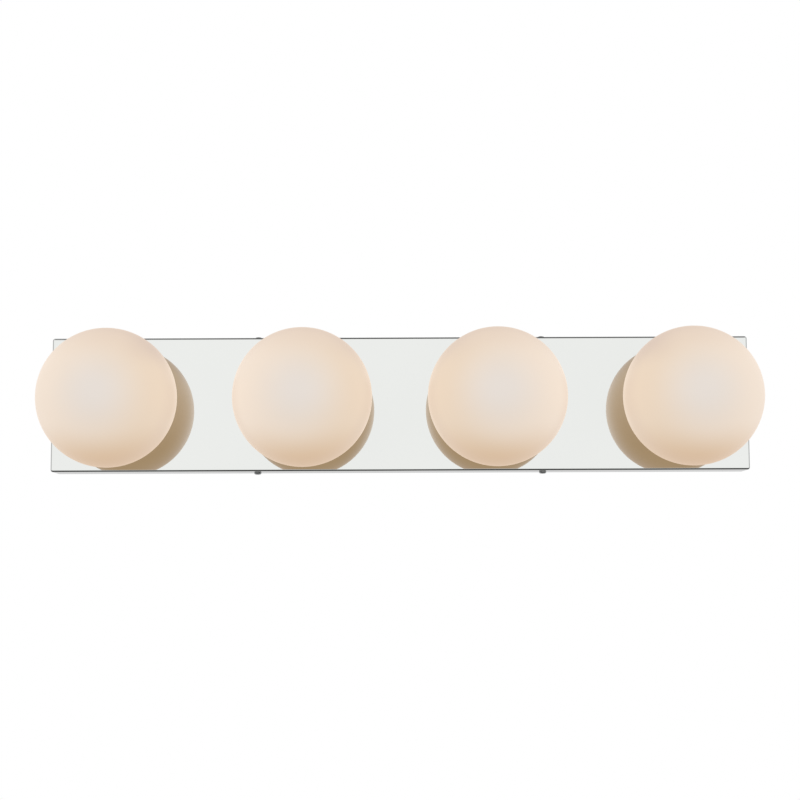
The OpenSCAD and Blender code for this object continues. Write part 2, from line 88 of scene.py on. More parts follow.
# The nodes of one material or world
class Graph:
    def __init__(self, owner):
        owner.use_nodes = True
        self.owner = owner
        self.tree = owner.node_tree
        self.tree.nodes.clear()

    # Adds a node of a type, sets its settings first and then its sockets' values or links
    def node(self, kind, settings=None, inputs=(), output=0):
        made = self.tree.nodes.new(kind)
        for name, value in (settings or {}).items():
            setattr(made, name, value)
        pairs = inputs.items() if isinstance(inputs, dict) else enumerate(inputs)
        for key, value in pairs:
            if isinstance(value, Wire):
                self.tree.links.new(value.socket, made.inputs[key])
            else:
                made.inputs[key].default_value = value
        return Wire(self, made.outputs[output]) if made.outputs else made

    def coords(self):
        return self.node("ShaderNodeTexCoord", output="Object")

    # Object coordinates measured from a point and divided by a length
    def around(self, centre, size):
        moved = self.node("ShaderNodeVectorMath", {"operation": "SUBTRACT"}, (self.coords(), centre))
        return self.node("ShaderNodeVectorMath", {"operation": "MULTIPLY"}, (moved, (1 / size,) * 3))

    def parts(self, vector):
        made = self.node("ShaderNodeSeparateXYZ", {}, (vector,))
        return [Wire(self, s) for s in made.socket.node.outputs]

    def noise(self, scale, detail, vector=None):
        values = {"Vector": vector or self.coords(), "Scale": scale, "Detail": detail}
        return self.node("ShaderNodeTexNoise", {}, values)

    def stretched(self, scale):
        return self.node("ShaderNodeMapping", {}, {"Vector": self.coords(), "Scale": scale})

    # Colour a where the factor is 0 and colour b where it is 1
    def mix(self, factor, a, b, blend="MIX"):
        a, b = (c if isinstance(c, Wire) else (*c, 1) for c in (a, b))
        settings = {"data_type": "RGBA", "blend_type": blend}
        return self.node("ShaderNodeMix", settings, {0: factor, 6: a, 7: b}, output=2)

    def bump(self, height, distance, strength=1.0):
        values = {"Height": height, "Distance": distance, "Strength": strength}
        return self.node("ShaderNodeBump", {}, values)

    def surface(self, **inputs):
        named = {key.replace("_", " "): value for key, value in inputs.items()}
        for key in ("Base Color", "Emission Color"):
            if key in named and not isinstance(named[key], Wire):
                named[key] = (*named[key], 1)
        shader = self.node("ShaderNodeBsdfPrincipled", {}, named)
        self.node("ShaderNodeOutputMaterial", {}, {"Surface": shader})
        return self.owner


def newGraph(name):
    return Graph(bpy.data.materials.new(name))


# Linear colour from 0 to 255 screen values: v / 12.92 near black, else ((v + 0.055) / 1.055) ^ 2.4
def screen(r, g, b):
    values = [v / 255 for v in (r, g, b)]
    return tuple(v / 12.92 if v <= 0.04045 else ((v + 0.055) / 1.055) ** 2.4 for v in values)


def meshObject(name, points, faces, smooth=True):
    mesh = bpy.data.meshes.new(name)
    mesh.from_pydata(points, [], faces)
    flags = np.broadcast_to(np.asarray(smooth, dtype=bool), (len(mesh.polygons),))
    mesh.polygons.foreach_set("use_smooth", np.ascontiguousarray(flags))
    mesh.update()
    made = bpy.data.objects.new(name, mesh)
    bpy.context.scene.collection.objects.link(made)
    return made


# Quads (i, j), (i + 1, j), (i + 1, j + 1), (i, j + 1) over a grid of nu by nv points; a closed direction
# joins its last row to its first
def gridFaces(nu, nv, closedU, closedV, start=0):
    i = np.arange(nu if closedU else nu - 1)[:, None]
    j = np.arange(nv if closedV else nv - 1)[None, :]
    a = i * nv + j
    b = ((i + 1) % nu) * nv + j
    c = ((i + 1) % nu) * nv + (j + 1) % nv
    d = i * nv + (j + 1) % nv
    return np.stack([a, b, c, d], axis=-1).reshape(-1, 4) + start


# A surface of revolution about local Z, where the radius may also change with the turn t:
# point = (radius cos t, radius sin t, height)
def spun(radius, height, steps):
    t = np.arange(steps) * 2 * pi / steps
    radius = np.broadcast_to(radius, (steps, len(height)))
    height = np.broadcast_to(height, radius.shape)
    return np.stack([radius * np.cos(t)[:, None], radius * np.sin(t)[:, None], height], axis=-1)


# A round section carried along a path: point = path + radius (cos t * normal + sin t * binormal), where the
# normals given are made square to the path first and the binormal is tangent x normal
def tube(path, normals, radius, steps):
    path = np.asarray(path, dtype=float)
    tangent = np.gradient(path, axis=0)
    tangent /= np.linalg.norm(tangent, axis=1, keepdims=True)
    normal = np.broadcast_to(np.asarray(normals, dtype=float), path.shape)
    normal = normal - tangent * (normal * tangent).sum(axis=1, keepdims=True)
    normal /= np.linalg.norm(normal, axis=1, keepdims=True)
    binormal = np.cross(tangent, normal)
    t = np.arange(steps)[:, None, None] * 2 * pi / steps
    ring = path + radius * (np.cos(t) * normal + np.sin(t) * binormal)
    ends = np.broadcast_to(path[[0, -1]], (steps, 2, 3))
    return np.concatenate([ends[:, :1], ring, ends[:, 1:]], axis=1)


# Local points carried to a place: point = origin + x across + y (axis x across) + z axis
def placed(points, origin, axis, across):
    z, x = np.asarray(axis, dtype=float), np.asarray(across, dtype=float)
    return np.asarray(origin) + points @ np.stack([x, np.cross(z, x), z])


# Points that leave the wall at light k, from a distance to the wall, with local Y up
def outAt(points, k, distance):
    return placed(points, (lightX[k], -distance, 0), (0, -1, 0), (1, 0, 0))


# One object from several grids of (around, along) points, closed around, with its poles merged
def gridObject(name, grids, inward=()):
    points, faces, count = [], [], 0
    for index, grid in enumerate(grids):
        nu, nv = grid.shape[:2]
        quads = gridFaces(nu, nv, True, False, count)
        faces.append(quads[:, ::-1] if index in inward else quads)
        points.append(grid.reshape(-1, 3))
        count += nu * nv
    return mergeDoubles(meshObject(name, np.concatenate(points), np.concatenate(faces).tolist()))


# Merges points that share a place, and can turn all faces outwards
def mergeDoubles(made, outward=False, distance=1e-7):
    work = bmesh.new()
    work.from_mesh(made.data)
    bmesh.ops.remove_doubles(work, verts=work.verts, dist=distance)
    if outward:
        bmesh.ops.recalc_face_normals(work, faces=work.faces)
    work.to_mesh(made.data)
    work.free()
    made.data.update()
    return made


# Makes a piece stand for a CAD node: it rides on a body, takes the finish given and hides the node
def standFor(made, node, body, material):
    dress(made, material)
    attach(made, body)
    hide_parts(node)


rounding = dict(merge=2e-6, flatAngle=1, sharpAngle=38, areaWeight=90)  # angles in degrees


# A CAD shape with its doubles merged, its flat faces joined up and its sharp edges rounded over
def roundedCopy(name, node, width, segments=2):
    made = bpy.data.objects.new(name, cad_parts[node].data.copy())
    bpy.context.scene.collection.objects.link(made)
    work = bmesh.new()
    work.from_mesh(made.data)
    bmesh.ops.remove_doubles(work, verts=work.verts, dist=rounding["merge"])
    flat = radians(rounding["flatAngle"])
    bmesh.ops.dissolve_limit(work, angle_limit=flat, verts=work.verts, edges=work.edges)
    for face in work.faces:
        face.smooth = True
    work.to_mesh(made.data)
    work.free()
    edge = made.modifiers.new("rounded edges", "BEVEL")
    edge.width = width
    edge.segments = segments
    edge.limit_method = "ANGLE"
    edge.angle_limit = radians(rounding["sharpAngle"])
    evened = made.modifiers.new("even shading", "WEIGHTED_NORMAL")
    evened.mode = "FACE_AREA_WITH_ANGLE"
    evened.weight = rounding["areaWeight"]
    evened.keep_sharp = True
    return made


def dress(made, material):
    made.data.materials.clear()
    made.data.materials.append(material)


def dressNode(name, material):
    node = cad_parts[name]
    if not node.material_slots:
        node.data.materials.append(material)
    for place in node.material_slots:
        place.material = material


def middle(name):
    low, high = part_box(name)
    return [(a + b) / 2 for a, b in zip(low, high)]


# A polished surface's roughness, from low to high under a haze, and its tint, which hardly varies
def polish(g, colour, low, high):
    haze = g.noise(6, 4)
    rough = low + (high - low) * (haze * 0.7 + g.noise(90, 2) * 0.3)
    return rough, g.mix(haze.eased(0.35, 0.75), colour, [c * 0.985 for c in colour])


# Mirror chrome: full metal, polished, with a long soft waviness of the sheet
def chromeFinish(name, colour, low, high, wave):
    g = newGraph(name)
    rough, tint = polish(g, colour, low, high)
    normal = g.bump(g.noise(3.5, 1), wave)
    return g.surface(Base_Color=tint, Metallic=1.0, Roughness=rough, Normal=normal)


# Pan finish: mirror chrome outside, and rougher, darker chrome inside the pan; a point
# is inside where it is more than half a sheet in from the sides and from the face
def panFinish(colour, dull, halfSheet):
    g = newGraph("mirror chrome")
    low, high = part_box("front_pan")
    x, y, z = g.parts(g.coords())
    near, far = halfSheet * 0.8, halfSheet * 1.2
    inX = 1 - (x * x).root().eased(high[0] - far, high[0] - near)
    inZ = 1 - (z * z).root().eased(high[2] - far, high[2] - near)
    inY = y.eased(low[1] + near, low[1] + far)
    inside = inX * inY * inZ
    polished, bright = polish(g, colour, 0.012, 0.03)
    brushed = g.noise(300, 3, g.stretched((0.15, 1, 4)))
    rough = polished + inside * (0.2 + 0.16 * brushed)
    tone = g.mix(inside, bright, dull)
    normal = g.bump(g.noise(3.5, 1), 0.00001)
    return g.surface(Base_Color=tone, Metallic=1.0, Roughness=rough, Normal=normal)


# Colours, shares, and the ranges over which each colour fades in, in radii from the globe's centre. Most
# colours here are painted light and shade: a painted reflection in front, painted light across the sides, and
# painted shade at the crown, the upper inner side, the underside, the back and the rim
opal = dict(
    heart=screen(231, 222, 214), outer=screen(243, 227, 211), inner=screen(236, 216, 194),
    crown=screen(231, 211, 194), shade=screen(218, 198, 184), under=screen(216, 181, 142),
    back=screen(227, 200, 169), backUnder=screen(211, 179, 139),
    albedo=0.3, glow=0.86, rough=0.4, shadeOuter=1.0, shadeInner=0.5, limb=0.3, cloud=0.03,
    acrossX=(-0.9, 0.9), crownZ=(0.42, 1.05), shadeX=(0.2, 0.9), shadeZ=(0.3, 0.8), underZ=(0.32, 1.15),
    heartRing=(0.05, 0.78), limbRing=(0.84, 1.0), backZ=(-0.4, 0.8), backY=(-0.1, 0.55),
)


# Lit opal glass with light and shade painted into its colour. A grey-white painted reflection in front turns to
# cream, with painted light that makes it pinker on the side away from the middle of the bar and peach on the
# side towards it; painted shade makes the crown a little dusky, the upper inner side greyer, the underside tan,
# the back browner and the rim darker.
# Places are measured from the globe's centre in radii, and one colour feeds both the glow and the glass, so the
# glow carries the painted light and shade
def opalFinish(k, centre, radius):
    g = newGraph(f"opal glass {k}")
    x, y, z = g.parts(g.around(centre, radius))
    ring = (x * x + z * z).root()
    outward = x * (1 if centre[0] > 0 else -1)
    reach = 0.5 + 0.5 * ring
    # painted light: peach on the side towards the middle of the bar, pinker on the side away
    body = g.mix(outward.eased(*opal["acrossX"]), opal["inner"], opal["outer"])
    # painted shade: the crown turns duskier
    topped = g.mix(z.eased(*opal["crownZ"]) * (0.85 - 0.25 * outward), body, opal["crown"])
    share = opal["shadeOuter"] if k in (1, 4) else opal["shadeInner"]
    # painted shade on the upper side towards the middle of the bar, fuller on the outer globes
    paintedShadeMask = (outward * -1).eased(*opal["shadeX"]) * z.eased(*opal["shadeZ"]) * share
    shaded = g.mix(paintedShadeMask, topped, opal["shade"])
    # painted shade: the underside turns tan
    under = g.mix((z * reach * -1).eased(*opal["underZ"]), shaded, opal["under"])
    # painted reflection: a grey-white patch in the middle of the front
    front = g.mix(ring.eased(*opal["heartRing"]), opal["heart"], under)
    # painted shade: the rim a little darker
    limbShaded = g.mix(ring.eased(*opal["limbRing"]) * opal["limb"], front, opal["shade"])
    # painted shade: the back browner, and browner still low down
    shadedBack = g.mix((z * -1).eased(*opal["backZ"]), opal["back"], opal["backUnder"])
    around = g.mix(y.eased(*opal["backY"]), limbShaded, shadedBack)
    cloud = g.noise(9, 3).eased(0.3, 0.7)
    tone = g.mix(cloud * opal["cloud"], around, opal["inner"])
    glass = g.mix(1.0, tone, (opal["albedo"],) * 3, "MULTIPLY")
    normal = g.bump(g.noise(900, 2), 0.00002, 0.4)
    # the glow's colour is the painted light and shade above
    return g.surface(
        Base_Color=glass, Roughness=opal["rough"], IOR=1.45, Specular_IOR_Level=0.2,
        Emission_Color=tone, Emission_Strength=opal["glow"], Normal=normal,
    )


# Zinc plate: small crystals of slightly different grey, and a grain that runs along the sheet
def zincFinish(name, light, dark, warmth=0.0):
    g = newGraph(name)
    cells = g.node("ShaderNodeTexVoronoi", {}, {"Vector": g.coords(), "Scale": 220.0}, output="Color")
    patch = g.node("ShaderNodeSeparateColor", {}, (cells,))
    grain = g.noise(60, 4, g.stretched((0.4, 1, 12)))
    tone = g.mix((patch * 0.5 + grain * 0.5).clamped(), dark, light)
    stain = g.mix(g.noise(14, 4).eased(0.55, 0.8) * warmth, tone, screen(196, 178, 120))
    return g.surface(
        Base_Color=stain, Metallic=1.0, Roughness=0.3 + 0.22 * grain,
        Normal=g.bump(grain, 0.00003, 0.6),
    )


# Turned or drawn metal: fine rings or streaks in the roughness, and duller patches
def metalFinish(name, colour, rough, streak=(1, 1, 1)):
    g = newGraph(name)
    lines = g.noise(500, 2, g.stretched(streak))
    dull = g.noise(40, 3)
    tone = g.mix(dull.eased(0.45, 0.8) * 0.5, colour, [c * 0.72 for c in colour])
    return g.surface(
        Base_Color=tone, Metallic=1.0, Roughness=rough + 0.2 * lines,
        Normal=g.bump(lines, 0.00002, 0.5),
    )


# Unglazed ceramic: matt, with fine pores and faint specks
def ceramicFinish():
    g = newGraph("steatite")
    speck = g.noise(1600, 2).eased(0.68, 0.76)
    body = g.mix(g.noise(70, 4).eased(0.3, 0.7), screen(238, 234, 222), screen(226, 220, 204))
    tone = g.mix(speck * 0.5, body, screen(160, 148, 128))
    return g.surface(
        Base_Color=tone, Roughness=0.72 + 0.1 * g.noise(200, 2),
        Normal=g.bump(g.noise(1200, 3), 0.00004, 0.5),
    )


# Moulded or extruded plastic: two near shades of a colour, given as screen values, under a fine grain
def plasticFinish(name, light, dark, rough):
    g = newGraph(name)
    tone = g.mix(g.noise(60, 4).eased(0.3, 0.7), screen(*light), screen(*dark))
    return g.surface(
        Base_Color=tone, Roughness=rough + 0.12 * g.noise(160, 3),
        Normal=g.bump(g.noise(700, 2), 0.00004, 0.6),
    )


# Silicone: soft and slightly see-through, with a bloom on it
def siliconeFinish():
    g = newGraph("silicone")
    bloom = g.noise(120, 3)
    tone = g.mix(bloom.eased(0.35, 0.7), screen(232, 231, 226), screen(214, 212, 205))
    return g.surface(
        Base_Color=tone, Roughness=0.42 + 0.25 * bloom, Subsurface_Weight=0.25,
        Subsurface_Radius=(0.002, 0.002, 0.0018), Normal=g.bump(g.noise(500, 2), 0.00003, 0.5),
    )


# Lit quartz: clear glass with a glow that turns deeper over a glow's length from the coil
def quartzFinish(k, centre, glowLength=14 * mm):
    g = newGraph(f"quartz {k}")
    x, y, z = g.parts(g.around(centre, glowLength))
    near = 1 - (y * y).eased(0.0, 1.0)
    glow = g.mix(near, screen(255, 214, 160), screen(255, 240, 214))  # palest beside the coil
    frost = g.noise(220, 3)
    return g.surface(
        Base_Color=g.mix(frost.eased(0.3, 0.7), screen(250, 246, 240), screen(240, 236, 230)),
        Roughness=0.08 + 0.1 * frost, IOR=1.46, Transmission_Weight=0.75,
        Emission_Color=glow, Emission_Strength=0.3,
    )


# Quartz pressed while hot: less clear than the capsule, with ripples across the pinch
def pressedQuartzFinish():
    g = newGraph("pressed quartz")
    ripple = g.noise(260, 2, g.stretched((1, 0.3, 1)))
    return g.surface(
        Base_Color=g.mix(ripple.eased(0.3, 0.7), screen(240, 240, 238), screen(222, 224, 224)),
        Roughness=0.12 + 0.12 * ripple, IOR=1.46, Transmission_Weight=0.45,
        Normal=g.bump(ripple, 0.00012, 0.6),
    )


# Glowing coil: brighter and duller turns along the wire
def hotTungstenFinish():
    g = newGraph("hot tungsten")
    turns = g.noise(900, 1, g.stretched((0.1, 1, 0.1)))
    glow = g.mix(turns, screen(255, 190, 110), screen(255, 232, 190))
    return g.surface(
        Base_Color=screen(110, 108, 104), Metallic=1.0, Roughness=0.4 + 0.1 * turns,
        Emission_Color=glow, Emission_Strength=2.6,
    )


finishes = {
    "front_pan": panFinish((0.605, 0.615, 0.60), (0.5, 0.5, 0.48), 0.6 * mm),
    "side_screws": chromeFinish("screw chrome", (0.45, 0.455, 0.455), 0.06, 0.12, 0.00001),
    "globe_cup": chromeFinish("cup nickel", (0.78, 0.77, 0.74), 0.08, 0.2, 0.00002),
    "wall_bracket": zincFinish("zinc plate", (0.62, 0.62, 0.60), (0.40, 0.40, 0.39), 0.35),
    "globe_clips": metalFinish("spring steel", (0.52, 0.54, 0.57), 0.22, (1, 8, 1)),
    "clip_rivets": metalFinish("rivet steel", (0.58, 0.58, 0.57), 0.3),
    "lock_washers": metalFinish("washer steel", (0.5, 0.5, 0.5), 0.32),
    "nipples": metalFinish("nipple brass", (0.78, 0.6, 0.3), 0.24, (1, 14, 1)),
    "locknuts": metalFinish("locknut brass", (0.8, 0.63, 0.33), 0.26),
    "contacts": metalFinish("contact nickel", (0.7, 0.66, 0.55), 0.25, (1, 6, 1)),
    "ground_terminal": metalFinish("tinned terminal", (0.72, 0.7, 0.64), 0.3),
    "lamp_pins": metalFinish("pin wire", (0.66, 0.65, 0.62), 0.25, (1, 8, 1)),
    "lamp_holder": ceramicFinish(),
    "globe_seat": siliconeFinish(),
    "lamp_base": pressedQuartzFinish(),
    "filament": hotTungstenFinish(),
    "black_leads": plasticFinish("black insulation", (34, 34, 35), (22, 22, 23), 0.42),
    "white_leads": plasticFinish("white insulation", (232, 231, 226), (216, 214, 206), 0.42),
    "ground_lead": plasticFinish("green insulation", (40, 132, 64), (28, 108, 50), 0.42),
    "black_wire_nut": plasticFinish("orange nut", (226, 98, 30), (206, 82, 20), 0.38),
    "white_wire_nut": plasticFinish("orange nut two", (222, 96, 32), (202, 80, 22), 0.38),
    "ground_wire_nut": plasticFinish("green nut", (38, 128, 62), (26, 104, 48), 0.38),
    "ground_screw": metalFinish("green zinc", (0.09, 0.33, 0.13), 0.3),
}

for name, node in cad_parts.items():
    kind = name.rstrip("1234").rstrip("_")
    if kind in finishes:
        dressNode(name, finishes[kind])
print("finishes made:", len(finishes))


lightX = {k: middle(f"globe_cup_{k}")[0] for k in lightNumbers}
globe = dict(rings=72, steps=160, wall=3 * mm, lip=0.5 * mm, mouth=27 * mm)


# Profile of a globe in (radius, height in front of its centre): arcs (R sin a, R cos a) inside and out, from
# the inner pole back to the ground rim, round its slightly rounded lips, and on to the front pole
def globeProfile(radius, rimDepth):
    lip, mouth = globe["lip"], globe["mouth"]
    inner = radius - globe["wall"]
    rim = sqrt(radius**2 - rimDepth**2)
    innerMouth = -sqrt(inner**2 - mouth**2)
    b = np.linspace(0, np.arctan2(mouth + lip * 0.6, innerMouth + lip * 0.4), globe["rings"])
    a = np.linspace(np.arctan2(rim + lip * 0.3, -rimDepth + lip * 0.5), 0, globe["rings"])
    innerArc = np.stack([inner * np.sin(b), inner * np.cos(b)], axis=-1)
    outerArc = np.stack([radius * np.sin(a), radius * np.cos(a)], axis=-1)
    land = [(mouth, innerMouth - lip * 0.3), (mouth, -rimDepth + lip),
            (mouth + lip * 0.3, -rimDepth + lip * 0.3), (mouth + lip, -rimDepth),
            (rim - lip * 0.6, -rimDepth)]
    return np.concatenate([innerArc, land, outerArc]).T


for k in lightNumbers:
    low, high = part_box(f"globe_{k}")
    radius = (high[0] - low[0]) / 2
    centre = (lightX[k], low[1] + radius, (low[2] + high[2]) / 2)
    r, h = globeProfile(radius, high[1] - centre[1])
    r[0] = r[-1] = 0
    shade = gridObject(f"opalGlobe{k}", [outAt(spun(r, h, globe["steps"]), k, -centre[1])])
    standFor(shade, f"globe_{k}", f"globe_{k}", opalFinish(k, centre, radius))
print("globes made")


capsule = dict(
    radius=6.8 * mm, length=27 * mm, wall=0.8 * mm, floor=1.2 * mm,
    pinchHalf=2.4 * mm, flare=6 * mm, flatPower=0.55,
    tip=1.6 * mm, tipRadius=1.5 * mm, tipSunk=0.15 * mm, tipGap=0.25 * mm,
    sideRings=24, domeRings=20, tipRings=7, steps=64,
)
pinch = dict(
    halfWidth=7 * mm, halfDepth=2.4 * mm, length=12 * mm, end=0.6 * mm, power=0.35, groove=0.45 * mm,
    grooveSide=(2.6 * mm, 3.8 * mm), grooveStart=(2 * mm, 3.2 * mm), grooveStop=(8.8 * mm, 10 * mm),
    endRings=6, sideRings=24, steps=96,
)
coil = dict(
    radius=0.66 * mm, wire=0.19 * mm, turns=13, length=9 * mm, endGap=0.3 * mm, turnSteps=18,
    support=2.21 * mm, supportWire=0.22 * mm, hook=0.6 * mm, hookReach=0.2 * mm,
)


# share^2 (3 - 2 share), where share goes from 0 at low to 1 at high
def eased(value, low, high):
    share = np.clip((value - low) / (high - low), 0, 1)
    return share * share * (3 - 2 * share)


# Signed power, which squares off an ellipse: a power of 1 leaves it round and 0.3 is nearly a rectangle
def squared(value, power):
    return np.sign(value) * np.abs(value) ** power


# Section (a cos^p t, b sin^p t) at each height, where a, b and p all change along the piece
def loft(a, b, power, height, steps):
    t = np.arange(steps)[:, None] * 2 * pi / steps
    return np.stack([a * squared(np.cos(t), power), b * squared(np.sin(t), power),
                     np.broadcast_to(height, (steps, len(height)))], axis=-1)


# Half width, half depth, section power and height of the capsule's rings, one inset in from its outside: a
# straight side and a dome (r cos a, r sin a), where the depth and the power grow from the pinch's to a circle's
def capsuleRings(inset, start):
    shoulder = capsule["length"] - capsule["radius"]
    r, pinchHalf = capsule["radius"] - inset, capsule["pinchHalf"]
    side = np.linspace(start, shoulder, capsule["sideRings"])
    dome = np.linspace(0, pi / 2, capsule["domeRings"])[1:]
    height = np.concatenate([side, shoulder + r * np.sin(dome)])
    radius = np.concatenate([np.full(len(side), r), r * np.cos(dome)])
    opened = eased(height, start, capsule["flare"] + start)
    depth = np.minimum(radius, pinchHalf - inset * 0.8 + (r - pinchHalf) * opened)
    power = capsule["flatPower"] + (1 - capsule["flatPower"]) * opened
    return np.stack([radius, depth, power, height])


# Quartz capsule: round for most of its length, flattening to the pinch at its back, with a domed front
# that ends in the small nub where it was sealed off. The inside is the same form one wall further in
def makeCapsule(k, back):
    grids = []
    for inset, start in ((0, 0), (capsule["wall"], capsule["floor"])):
        rings = capsuleRings(inset, start)
        if not inset:
            a = np.linspace(0, pi / 2, capsule["tipRings"])
            r = capsule["tipRadius"] * np.cos(a) * (1 - 0.25 * np.sin(a))
            h = capsule["length"] - capsule["tipSunk"] + capsule["tip"] * np.sin(a)
            clear = rings[3, -1] - rings[3] > capsule["tipGap"]
            rings = np.concatenate([rings[:, clear], [r, r, np.ones(len(a)), h]], axis=1)
        rings = np.concatenate([[[0], [0], [1], [start]], rings], axis=1)
        rings[:2, -1] = 0
        grids.append(outAt(loft(*rings, capsule["steps"]), k, back))
    return gridObject(f"quartzCapsule{k}", grids, inward=(1,))


# Pinch seal: a squared section along its length with rounded ends, pressed in on both flat sides
def makePinch(k, back):
    end, long, count = pinch["end"], pinch["length"], pinch["sideRings"]
    turn = np.linspace(0, pi / 2, pinch["endRings"])
    rise, inward = end * (1 - np.cos(turn)), end * (1 - np.sin(turn))
    side = np.linspace(end, long - end, count + 2)[1:-1]
    height = np.concatenate([[0], rise, side, long - rise[::-1], [long]])
    inset = np.concatenate([[0], inward, np.zeros(count), inward[::-1], [0]])
    a, b = pinch["halfWidth"] - inset, pinch["halfDepth"] - inset
    a[0] = a[-1] = b[0] = b[-1] = 0
    points = loft(a, b, pinch["power"], height, pinch["steps"])
    across = 1 - eased(np.abs(points[..., 0]), *pinch["grooveSide"])
    along = eased(height, *pinch["grooveStart"]) * (1 - eased(height, *pinch["grooveStop"]))
    points[..., 1] -= np.sign(points[..., 1]) * pinch["groove"] * across * along
    return gridObject(f"pinchSeal{k}", [outAt(points, k, back)])


# Filament: a helix (radius cos a, radius sin a, start + length a / whole turn) across the capsule's middle,
# and two support wires that come up from the pinch and hook over to its ends
def makeFilament(k, back):
    x, hook, gap = coil["support"], coil["hook"], coil["endGap"]
    start = (capsule["length"] - coil["length"]) / 2 + gap
    a = np.linspace(0, coil["turns"] * 2 * pi, coil["turns"] * coil["turnSteps"] + 1)
    radial = np.stack([np.cos(a), np.sin(a), 0 * a], axis=-1)
    helix = coil["radius"] * radial
    helix[:, 2] = start + (coil["length"] - 2 * gap) * a / a[-1]
    grids = [tube(helix, radial, coil["wire"], 8)]
    turn = np.linspace(0, pi / 2, 9)
    for side, top in ((1, helix[0, 2]), (-1, helix[-1, 2])):
        bend = np.stack([x - hook + hook * np.cos(turn), 0 * turn, top - hook + hook * np.sin(turn)], axis=-1)
        rise = [(x, 0, 0), (x, 0, (top - hook) / 2)]
        reach = [(x - hook - coil["hookReach"], 0, top), (coil["radius"] * side, 0, top)]
        path = np.concatenate([rise, bend, reach])
        path[:, 0] *= side
        grids.append(tube(path, (0, 1, 0), coil["supportWire"], 10))
    return gridObject(f"coilAndSupports{k}", [outAt(grid, k, back) for grid in grids])


for k in lightNumbers:
    back = -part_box(f"lamp_capsule_{k}")[1][1]
    body = f"lamp_{k}"
    quartz = quartzFinish(k, middle(f"filament_{k}"))
    standFor(makeCapsule(k, back), f"lamp_capsule_{k}", body, quartz)
    base = makePinch(k, back - pinch["length"])
    standFor(base, f"lamp_base_{k}", body, finishes["lamp_base"])
    filament = makeFilament(k, -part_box(f"filament_{k}")[1][1])
    standFor(filament, f"filament_{k}", body, finishes["filament"])
print("lamps made")


seat = dict(inside=25.4 * mm, edge=0.9 * mm, edgeRings=7, steps=128)
rivet = dict(
    shank=1.2 * mm, head=2.16 * mm, headHigh=0.8 * mm, straight=0.35, domeRings=8,
    inside=23.68 * mm, outside=25.3 * mm, count=3, steps=28,
)


# Silicone ring: a rectangle turned about the light's axis, with corners (r + edge cos a, h + edge sin a)
def makeSeat(k):
    low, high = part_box(f"globe_seat_{k}")
    edge, thick = seat["edge"], high[1] - low[1]
    outer, inner = (high[0] - low[0]) / 2 - edge, seat["inside"] + edge
    turn = np.linspace(0, pi / 2, seat["edgeRings"])
    corners = []
    for i, (r, h) in enumerate(((outer, thick - edge), (inner, thick - edge), (inner, edge), (outer, edge))):
        a = turn + i * pi / 2
        corners.append(np.stack([r + edge * np.cos(a), h + edge * np.sin(a)], axis=-1))
    profile = np.concatenate(corners + [corners[0][:1]])
    return gridObject(f"siliconeSeat{k}", [outAt(spun(*profile.T, seat["steps"]), k, -high[1])])


# Rivets through the cup: a shank with a low head at each end, straight at its side and then a dome
# (head cos a, rise sin a)
def makeRivets():
    turn = np.linspace(0, pi / 2, rivet["domeRings"])
    head, inner, outer = rivet["head"], rivet["inside"], rivet["outside"]
    high = rivet["headHigh"] * (rivet["straight"] + (1 - rivet["straight"]) * np.sin(turn))
    outerDome = np.stack([head * np.cos(turn), outer + high], axis=-1)
    innerDome = np.stack([head * np.cos(turn), inner - high], axis=-1)
    shank = [(head, inner), (rivet["shank"], inner), (rivet["shank"], outer), (head, outer)]
    profile = np.concatenate([innerDome[::-1], shank, outerDome])
    profile[[0, -1], 0] = 0
    one = spun(*profile.T, rivet["steps"])
    grids, depth = [], middle("clip_rivets")[1]
    for k in lightNumbers:
        for i in range(rivet["count"]):
            a = pi / 2 + (i + 1) * 2 * pi / rivet["count"]
            grids.append(placed(one, (lightX[k], depth, 0), (cos(a), 0, sin(a)), (0, 1, 0)))
    return gridObject("clipRivets", grids)


# Name, CAD node, rounding, segments of the rounding, and slot
roundedAtLights = (
    ("pressedCup", "globe_cup", 0.2 * mm, 2, "cup_steel"),
    ("springClips", "globe_clips", 0.12 * mm, 2, "spring_steel"),
    ("steatiteHolder", "lamp_holder", 0.35 * mm, 3, "steatite"),
    ("contactLeaves", "contacts", 0.08 * mm, 2, "contact_nickel"),
)

for k in lightNumbers:
    standFor(makeSeat(k), f"globe_seat_{k}", "fixture", finishes["globe_seat"])
    for name, kind, width, segments, slot in roundedAtLights:
        made = roundedCopy(f"{name}{k}", f"{kind}_{k}", width, segments)
        standFor(made, f"{kind}_{k}", "fixture", finishes[kind])
standFor(makeRivets(), "clip_rivets", "fixture", finishes["clip_rivets"])
print("cups and holders made")


